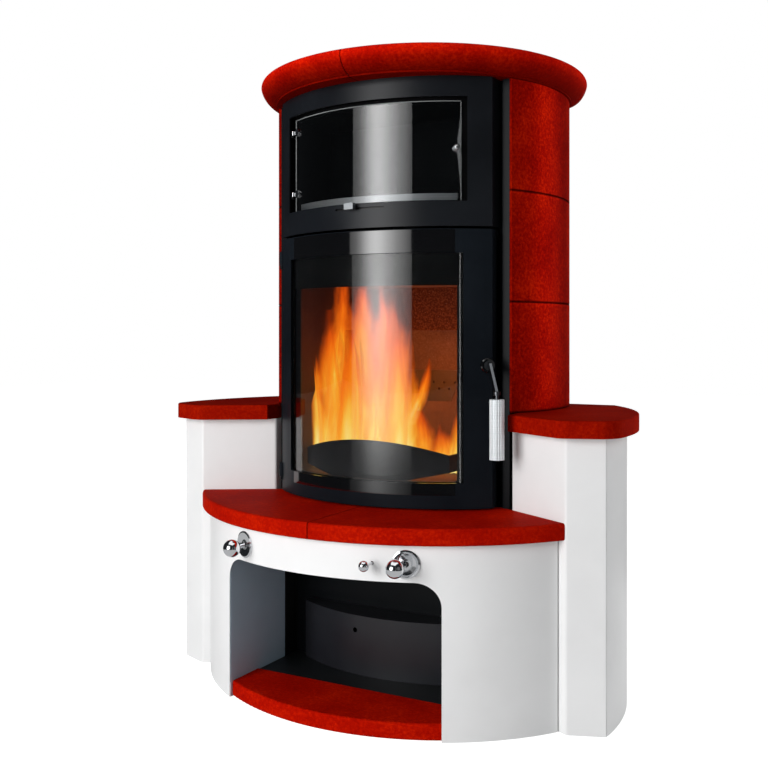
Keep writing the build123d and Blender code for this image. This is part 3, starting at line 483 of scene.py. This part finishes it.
cornice_low, cornice_high = (corner.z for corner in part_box("left_cornice"))
# Painted shade on the cornice's underside, rising to a painted highlight along its nose.
nose_shade_highlight_levels = ((0.0, 0.30), (0.25, 0.40), (0.50, 0.60), (0.72, 1.0), (0.90, 1.45), (1.0, 1.5))
cornice_glaze = red_glaze(
    "cornice_glaze",
    seed=2.6,
    depth=1.4,
    softness=0.20,
    joint_and_light_bands=(seam_pool, ("Z", cornice_low, cornice_high, nose_shade_highlight_levels)),
)
dress(cornice_glaze, "left_cornice", "right_cornice")

drum_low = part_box("left_tile_1")[0].z
tile_courses = (1, 2, 3)
# Painted light across each drum tile from its front edge backwards: painted shade at both ends and
# a painted highlight near the middle.
tile_light_front_y = 0.0
tile_light_back_y = 0.30
tile_shade_highlight_levels = (
    (0.0, 0.46),
    (0.18, 0.66),
    (0.35, 1.0),
    (0.48, 0.90),
    (0.70, 0.52),
    (0.84, 0.40),
    (1.0, 0.46),
)
# Dark joints between the tile courses, each with a painted highlight on the lower tile's top edge
# just below it, and a painted shadow along the drum's foot above the caps.
joint_half = 0.002
joint_rim = 0.005
joint_fade = 0.012
joint_and_painted_light_levels = [(0.0, 0.15), (0.004, 0.2), (0.009, 1.0)]
for course in tile_courses[:-1]:
    joint = course / len(tile_courses)
    joint_and_painted_light_levels += [
        (joint - joint_fade, 1.0),
        (joint - joint_rim, 1.35),
        (joint - joint_half, 0.15),
        (joint + joint_half, 0.15),
        (joint + joint_rim, 1.0),
    ]
tile_glaze = red_glaze(
    "tile_glaze",
    seed=4.1,
    depth=1.5,
    softness=0.14,
    joint_and_light_bands=(
        ("Y", tile_light_front_y, tile_light_back_y, tile_shade_highlight_levels),
        ("Z", drum_low, cornice_low, joint_and_painted_light_levels),
    ),
)
for side_name in ("left", "right"):
    for course in tile_courses:
        dress(tile_glaze, f"{side_name}_tile_{course}")

# Stove front: two posts and the curved plate around the baking compartment's window.
# Steel plate, laser-cut and rolled, coated satin anthracite and screwed to the front frame.
satin_black = coated(
    "satin_black_coating",
    dark=(0.005, 0.006, 0.008),
    light=(0.009, 0.0105, 0.0135),
    rough=0.33,
    bump=0.05,
    specular=0.32,
)
dress(satin_black, "upper_front_plate")
dress(post_black, "front_posts")

# Air slider of the baking compartment: curved strip in a slot, with a tab to push it by.
# Stainless steel; the strip is coated black and the tab that stands out is left bright.
slider_skin = coated(
    "slider_coating",
    dark=(0.001, 0.001, 0.001),
    light=(0.002, 0.002, 0.002),
    rough=0.4,
)
tab_steel = (0.42, 0.44, 0.46, 1.0)
tab_gap = 0.003
tab_start_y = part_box("upper_front_plate")[0].y - tab_gap
slider_tree = slider_skin.node_tree
slider_shader = slider_tree.nodes["Principled BSDF"]
strip_colour = slider_shader.inputs["Base Color"].links[0].from_socket
on_tab = reckon(slider_tree, "LESS_THAN", place_along(slider_tree, "Y"), tab_start_y)
slider_colour = mix_colours(slider_tree, on_tab, strip_colour, tab_steel)
feed(slider_shader, {"Base Color": slider_colour, "Metallic": on_tab})
dress(slider_skin, "vent_slider")

# Fire door: curved frame with a glossy bar above and below the glass, which a clamp holds
# against a rope seal. Steel plate, coated satin or enamelled; bent ceramic glass, very smooth
# and with a faint ripple. It hangs on two pins at the left.
frame_black = coated(
    "frame_black_coating",
    dark=(0.005, 0.0065, 0.009),
    light=(0.008, 0.0105, 0.014),
    rough=0.30,
    bump=0.05,
    specular=0.06,
)
dress(frame_black, "door_frame")
gloss_black = coated(
    "gloss_black_enamel",
    dark=(0.002, 0.002, 0.0025),
    light=(0.003, 0.003, 0.0035),
    rough=0.06,
    bump=0.01,
)
feed(gloss_black.node_tree.nodes["Principled BSDF"], {"IOR": 1.95})
dress(gloss_black, "door_bars")
dress(matt_black, "glass_clamp")
dress(rope_grey, "door_seal")


def make_ripple_group():
    """Faint ripple of bent glass."""
    tree, _, result = new_group("glass_ripple", {}, ("Ripple",))
    feed(result, {"Ripple": noise_on(tree, object_place(tree), scale=3.0, detail=2.0)})
    return tree


ripple_group = make_ripple_group()


def clear_glass(name, tint, index):
    """Clear bent glass with a faint ripple in its tint and gloss."""
    material, tree, shader = new_material(name)
    ripple = place_group(tree, ripple_group, {})["Ripple"]
    colour = colour_band(tree, ripple, ((0.3, tint), (0.7, (1.0, 1.0, 1.0))))
    gloss = value_band(tree, ripple, low=0.0, high=0.02)
    feed(shader, {"Base Color": colour, "Roughness": gloss})
    feed(shader, {"Transmission Weight": 1.0, "IOR": index})
    return material


dress(clear_glass("bent_door_glass", tint=(0.95, 0.97, 0.96), index=1.48), "door_glass")

# Printed band: black enamel on the back of the door's pane, along its top edge.
# Screen print fired on to the glass, so it turns with the fire door.
joints = {joint["name"]: joint for joint in frame["joints"]}
front_y = joints["vent_slide"]["pos_m"][1]
film_gap = 0.0003
glass_back_radius = 0.4850
band_half = 0.270
band_low = 1.106
band_high = 1.190


def curved_strip(form, radius, low_left, high_right, steps):
    """Strip on a cylinder about the front's axis, between two corners given as (x, z)."""
    left, low = low_left
    right, high = high_right
    rows = []
    for height in (low, high):
        row = []
        for step in range(steps + 1):
            across = left + (right - left) * step / steps
            back = front_y - math.sqrt(radius**2 - across**2)
            row.append(form.verts.new((across, back, height)))
        rows.append(row)
    for step in range(steps):
        form.faces.new((rows[0][step], rows[0][step + 1], rows[1][step + 1], rows[1][step]))


band_form = bmesh.new()
band_radius = glass_back_radius - film_gap
curved_strip(band_form, band_radius, (-band_half, band_low), (band_half, band_high), 60)
band_enamel = coated(
    "band_enamel",
    dark=(0.005, 0.005, 0.005),
    light=(0.009, 0.009, 0.009),
    rough=0.35,
    grain=400.0,
    specular=0.12,
)
printed_band = add_piece("printed_band", band_form, band_enamel)
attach(printed_band, "door")

# Door lever: cranked arm with a fluted grip, on the shaft that works the latch.
# The arm is ground steel and the grip is brushed aluminium, pressed on to its end.
lever_steel = coated(
    "lever_steel",
    dark=(0.16, 0.17, 0.18),
    light=(0.22, 0.23, 0.25),
    rough=0.28,
    bump=0.01,
    metallic=1.0,
)
dress(lever_steel, "handle_lever")
grip_finish = brushed_metal(
    "grip_aluminium",
    dark=(0.74, 0.79, 0.81),
    light=(0.87, 0.91, 0.93),
    rough=0.42,
    metallic=0.35,
)
dress(grip_finish, "handle_grip")

# Lever boss: turned collar that the lever stands in, on the door's right stile.
# Steel, enamelled glossy black, with a bevelled rim; it turns with the lever.
boss_centre = Vector(joints["handle_turn"]["pos_m"])
boss_out = -Vector(joints["handle_turn"]["axis"])
boss_profile = (
    (0.0122, 0.0008),
    (0.0190, 0.0008),
    (0.0198, 0.0018),
    (0.0198, 0.0070),
    (0.0172, 0.0105),
    (0.0122, 0.0110),
)
lever_boss = add_piece("lever_boss", turned_ring(boss_centre, boss_out, boss_profile), gloss_black)
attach(lever_boss, "handle")

# Baking door: frameless curved pane with two hinge plates and a ball knob clamped on.
# Tinted ceramic glass, and fittings of turned steel with bright chrome.
dress(clear_glass("bent_baking_glass", tint=(0.88, 0.90, 0.92), index=1.60), "bake_glass")
bright_chrome = coated(
    "bright_chrome",
    dark=(0.72, 0.73, 0.75),
    light=(0.80, 0.81, 0.83),
    rough=0.10,
    bump=0.01,
    metallic=1.0,
)
dress(bright_chrome, "bake_fittings")

# Ground edges of the baking pane: ceramic glass cut and seamed by a diamond wheel.
# The ground edge is matt grey; the strips are also a painted highlight, widest on the hinge side
# where the edge catches the light.
ground_edge_highlight = coated(
    "ground_edge_highlight",
    dark=(0.16, 0.17, 0.17),
    light=(0.26, 0.27, 0.27),
    rough=0.5,
    grain=500.0,
)
pane_left, _, pane_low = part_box("bake_glass")[0]
pane_right, _, pane_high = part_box("bake_glass")[1]
pane_face_radius = 0.4830 + film_gap
# Widths of the pale strips: the wide strip on the hinge side is painted highlight as well as ground
# edge.
hinge_edge = 0.0040
free_edge = 0.0008
top_edge = 0.0020
edge_form = bmesh.new()
for low_left, high_right, steps in (
    ((pane_left, pane_low), (pane_left + hinge_edge, pane_high), 2),
    ((pane_right - free_edge, pane_low), (pane_right, pane_high), 2),
    ((pane_left, pane_high - top_edge), (pane_right, pane_high), 40),
):
    curved_strip(edge_form, pane_face_radius, low_left, high_right, steps)
pane_edge = add_piece("pane_ground_edge_and_highlight", edge_form, ground_edge_highlight)
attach(pane_edge, "bake_door")

# Air controls: two large ball knobs and a small one, on rods that run through rosettes.
# Turned and polished steel with bright chrome; the two long rods are brushed.
dress(bright_chrome, "rosettes", "left_air_knob", "right_air_knob", "small_air_knob")
dress(tray_steel, "left_air_rod", "right_air_rod")

# Fire: tongues of flame that rise behind the log retainer, from pale yellow to red.
# Burning wood gas; each tongue is a set of crossed ribbons on a leaning, curling centre line,
# and two small lamps inside give its glow on the fireclay.
foot_gap = 0.002
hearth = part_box("lining_floor")[1].z + foot_gap
lick_lift = 0.130


def flame_material():
    """Flame: glow and cover from the place on the ribbon, broken up by rising noise."""
    material, tree, shader = new_material("flame_glow")
    on_ribbon = tree.nodes.new("ShaderNodeUVMap").outputs["UV"]
    ribbon = add_node(tree, "ShaderNodeSeparateXYZ", {"Vector": on_ribbon}).outputs
    risen = {"Vector": object_place(tree), "Scale": (14.0, 14.0, 4.5)}
    rising = add_node(tree, "ShaderNodeMapping", risen).outputs["Vector"]
    waves = noise_on(tree, rising, scale=1.0, detail=4.0, Distortion=0.7)

    def sum_of(first, operation, second):
        return reckon(tree, operation, first, second)

    middle = 0.5
    edge_loss = 4.0
    wave_share = 1.9
    tip_power = 1.6
    tip_share = 0.8
    cooling_rate = 0.62
    foot_heat = 0.45
    core_heat = 0.55
    from_middle = sum_of(ribbon["X"], "SUBTRACT", middle)
    off_axis = sum_of(sum_of(from_middle, "MULTIPLY", from_middle), "MULTIPLY", edge_loss)
    raggedness = sum_of(sum_of(waves, "SUBTRACT", middle), "MULTIPLY", wave_share)
    core = sum_of(sum_of(1.0, "SUBTRACT", off_axis), "ADD", raggedness)
    tip_loss = sum_of(sum_of(ribbon["Y"], "POWER", tip_power), "MULTIPLY", tip_share)
    cover = sum_of(core, "SUBTRACT", tip_loss)
    cooling = sum_of(sum_of(ribbon["Y"], "MULTIPLY", cooling_rate), "SUBTRACT", foot_heat)
    heat = sum_of(sum_of(cover, "MULTIPLY", core_heat), "SUBTRACT", cooling)
    glow_stops = (
        (0.0, (0.35, 0.03, 0.001)),
        (0.18, (0.85, 0.10, 0.003)),
        (0.38, (1.0, 0.20, 0.006)),
        (0.60, (1.0, 0.36, 0.02)),
        (0.80, (1.0, 0.60, 0.08)),
        (1.0, (1.0, 0.82, 0.26)),
    )
    smoke_stops = ((0.0, (0.002, 0.001, 0.0)), (1.0, (0.01, 0.004, 0.001)))
    feed(shader, {"Emission Color": colour_band(tree, heat, glow_stops)})
    feed(shader, {"Base Color": colour_band(tree, heat, smoke_stops)})
    feed(shader, {"Alpha": value_band(tree, cover, low=0.0, high=0.80, start=0.05, end=0.75)})
    feed(shader, {"Roughness": 1.0, "Specular IOR Level": 0.0, "Emission Strength": 1.0})
    return material


def add_tongue(form, uv_layer, foot, height, width, lean, curl, phase):
    """Crossed ribbons of one tongue of flame."""
    rows = 26
    columns = 7
    sway_rate = 2.6
    sway_depth = 0.3
    belly_foot = 0.25
    belly_span = 0.64
    fullness = 0.8
    for turn in (20.0, 80.0, 140.0):
        across = Vector((math.cos(math.radians(turn)), math.sin(math.radians(turn)), 0.0))
        grid = []
        for row in range(rows + 1):
            along = row / rows
            sway = curl * math.sin(sway_rate * along + phase) * along
            centre = foot + Vector((lean * along + sway, sway_depth * sway, height * along))
            belly = math.sin(math.pi * (belly_foot + belly_span * along)) ** fullness
            half = 0.5 * width * belly
            grid.append(
                [
                    form.verts.new(centre + across * half * (2 * column / columns - 1))
                    for column in range(columns + 1)
                ]
            )
        for row in range(rows):
            for column in range(columns):
                places = ((0, 0), (1, 0), (1, 1), (0, 1))
                face = form.faces.new([grid[row + up][column + right] for right, up in places])
                for loop, (right, up) in zip(face.loops, places):
                    loop[uv_layer].uv = ((column + right) / columns, (row + up) / rows)


flame_form = bmesh.new()
flame_uv = flame_form.loops.layers.uv.new("ribbon")
for foot, height, width, lean, curl, phase in (
    ((-0.215, 0.030, hearth), 0.60, 0.135, 0.030, 0.040, 0.4),
    ((-0.175, 0.020, hearth), 0.46, 0.140, 0.000, 0.030, 2.4),
    ((-0.130, 0.000, hearth), 0.40, 0.160, 0.020, 0.030, 1.1),
    ((-0.085, 0.030, hearth), 0.60, 0.170, 0.020, 0.035, 3.0),
    ((-0.045, 0.010, hearth), 0.56, 0.150, 0.010, 0.030, 0.2),
    ((-0.005, 0.050, hearth), 0.60, 0.120, 0.015, 0.030, 1.9),
    ((0.030, 0.000, hearth), 0.50, 0.135, 0.030, 0.030, 2.7),
    ((0.035, 0.050, hearth + lick_lift), 0.19, 0.060, 0.070, 0.020, 0.6),
    ((0.080, 0.060, hearth), 0.19, 0.110, 0.000, 0.015, 1.5),
    ((0.135, 0.060, hearth), 0.14, 0.110, 0.010, 0.015, 2.0),
    ((0.170, 0.070, hearth), 0.23, 0.065, 0.030, 0.010, 0.9),
    ((0.210, 0.070, hearth), 0.19, 0.055, 0.020, 0.010, 0.2),
    ((-0.240, 0.010, hearth), 0.42, 0.060, -0.010, 0.020, 2.2),
):
    add_tongue(flame_form, flame_uv, Vector(foot), height, width, lean, curl, phase)
flames = add_piece("flames", flame_form, flame_material())
for polygon in flames.data.polygons:
    polygon.use_smooth = True
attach(flames, "stove")


def hang_light(name, light, place):
    """Object that holds a light at a place."""
    holder = bpy.data.objects.new(name, light)
    holder.location = place
    bpy.context.scene.collection.objects.link(holder)
    return holder


glow_colour = (1.0, 0.26, 0.05)
glow_radius = 0.06
for glow_name, glow_place, glow_power in (
    ("fire_glow_left", (-0.12, 0.03, 0.86), 3.2),
    ("fire_glow_right", (0.12, 0.04, 0.84), 4.5),
):
    glow_light = bpy.data.lights.new(glow_name, "POINT")
    glow_light.energy = glow_power
    glow_light.color = glow_colour
    glow_light.shadow_soft_size = glow_radius
    glow = hang_light(glow_name, glow_light, glow_place)
    glow.visible_camera = False
    glow.visible_glossy = False
    glow.visible_transmission = False

# Studio floor: one pale sheet under the stove, painted matt and far wider than the picture.
# It glows a little for the camera alone, so that it runs into the white behind.
floor_half = 14.0
floor_form = bmesh.new()
bmesh.ops.create_grid(floor_form, x_segments=2, y_segments=2, size=floor_half)
floor_paint = coated(
    "floor_paint",
    dark=(0.60, 0.60, 0.60),
    light=(0.66, 0.66, 0.66),
    rough=0.9,
    grain=60.0,
    cloud=1.5,
    specular=0.1,
)
floor_tree = floor_paint.node_tree
seen_by_camera = floor_tree.nodes.new("ShaderNodeLightPath").outputs["Is Camera Ray"]
floor_glow = {"Emission Strength": 0.88, "Emission Color": seen_by_camera}
feed(floor_tree.nodes["Principled BSDF"], floor_glow)
studio_floor = add_piece("studio_floor", floor_form, floor_paint)
studio_floor.visible_glossy = False

# Studio lights: one large soft box in front on the left, a thin strip on the right, fills that
# only brighten and cards that only mirror. The soft box is brightest near its middle and fades
# towards its ends and its foot, as its streaks on the glass and the door bars show.


def soft_box(name, azimuth, distance, height, size, radiance, fade=None, mirrored=True):
    """Area light that faces the stove from an azimuth; fade dims it across and upwards."""
    angle = math.radians(azimuth)
    aim = Vector((0.0, 0.0, height))
    place = Vector((distance * math.sin(angle), -distance * math.cos(angle), height))
    width, tall = size
    light = bpy.data.lights.new(name, "AREA")
    light.shape = "RECTANGLE"
    light.size = width
    light.size_y = tall
    light.energy = radiance * math.pi * width * tall
    if fade:
        fade_across, fade_up = fade
        light.use_nodes = True
        tree = light.node_tree
        on_box = tree.nodes.new("ShaderNodeNewGeometry").outputs["Parametric"]
        split = add_node(tree, "ShaderNodeSeparateXYZ", {"Vector": on_box}).outputs
        across = level_band(tree, split["X"], fade_across)
        upwards = level_band(tree, split["Y"], fade_up)
        feed(tree.nodes["Emission"], {"Color": mix_colours(tree, 1.0, across, upwards, "MULTIPLY")})
    holder = hang_light(name, light, place)
    holder.rotation_euler = (aim - place).to_track_quat("-Z", "Y").to_euler()
    holder.visible_glossy = mirrored
    holder.visible_transmission = mirrored


key_fade_across = (
    (0.0, 0.10),
    (0.12, 0.19),
    (0.20, 0.35),
    (0.28, 0.62),
    (0.37, 0.90),
    (0.45, 1.0),
    (0.53, 0.92),
    (0.62, 0.70),
    (0.78, 0.38),
    (0.95, 0.17),
    (1.0, 0.12),
)
key_fade_up = ((0.0, 0.12), (0.08, 0.20), (0.14, 0.38), (0.40, 1.0))
soft_box(
    "key_soft_box",
    azimuth=-13.5,
    distance=4.4,
    height=1.40,
    size=(3.61, 3.3),
    radiance=5.2,
    fade=(key_fade_across, key_fade_up),
)
soft_box(
    "front_fill",
    azimuth=-12.0,
    distance=4.2,
    height=1.6,
    size=(2.0, 2.5),
    radiance=5.9,
    mirrored=False,
)
soft_box(
    "strip_light",
    azimuth=41.8,
    distance=4.2,
    height=1.4,
    size=(0.05, 3.0),
    radiance=2.4,
)
soft_box(
    "side_fill",
    azimuth=136.0,
    distance=4.0,
    height=1.4,
    size=(2.4, 2.4),
    radiance=5.6,
    mirrored=False,
)
soft_box(
    "side_card",
    azimuth=75.0,
    distance=4.0,
    height=1.4,
    size=(2.4, 2.4),
    radiance=0.12,
)
soft_box(
    "back_fill",
    azimuth=190.0,
    distance=4.5,
    height=1.6,
    size=(2.6, 2.6),
    radiance=1.2,
    mirrored=False,
)

card_y = -0.6
for card_name, card_height, card_tilt, card_size, card_radiance in (
    ("ceiling_card", 3.4, 0.0, 3.4, 1.1),
    ("floor_card", -0.01, 180.0, 4.4, 0.50),
):
    card_light = bpy.data.lights.new(card_name, "AREA")
    card_light.size = card_size
    card_light.energy = card_radiance * math.pi * card_size**2
    card = hang_light(card_name, card_light, (0.0, card_y, card_height))
    card.rotation_euler = (math.radians(card_tilt), 0.0, 0.0)
    card.visible_diffuse = False
    card.visible_transmission = False

# Studio air: white for the camera, a pale sky for soft shade, and almost black for mirrors,
# so that the glass and the enamel stay dark between the lights.
world = bpy.data.worlds.new("studio_world")
bpy.context.scene.world = world
world.use_nodes = True
sky = world.node_tree
sky.nodes.clear()


def sky_shade(colour, strength):
    """Background shader of one colour and strength."""
    background = {"Color": (*colour, 1.0), "Strength": strength}
    return add_node(sky, "ShaderNodeBackground", background).outputs["Background"]


ray = sky.nodes.new("ShaderNodeLightPath").outputs
surround = sky_shade((0.8, 0.9, 1.0), 0.02)
for ray_kind, shade in (
    ("Is Diffuse Ray", sky_shade((0.96, 0.98, 1.0), 0.22)),
    ("Is Camera Ray", sky_shade((1.0, 1.0, 1.0), 1.0)),
):
    pick = {0: ray[ray_kind], 1: surround, 2: shade}
    surround = add_node(sky, "ShaderNodeMixShader", pick).outputs["Shader"]
add_node(sky, "ShaderNodeOutputWorld", {"Surface": surround})

# Camera: stands where the photograph was taken from, level, to the right of the stove and
# 0.98 m up. The picture is shifted down instead of tilted, which keeps upright edges upright.
camera_place = (1.3459, -2.4755, 0.9762)
camera_azimuth = 28.8
camera_data = bpy.data.cameras.new("photo_camera")
camera_data.sensor_width = 36.0
camera_data.lens = 46.83
camera_data.shift_y = -0.064
camera = bpy.data.objects.new("photo_camera", camera_data)
camera.location = camera_place
camera.rotation_euler = (math.radians(90.0), 0.0, math.radians(camera_azimuth))
bpy.context.scene.collection.objects.link(camera)
bpy.context.scene.camera = camera
bpy.context.scene.view_settings.view_transform = "Standard"
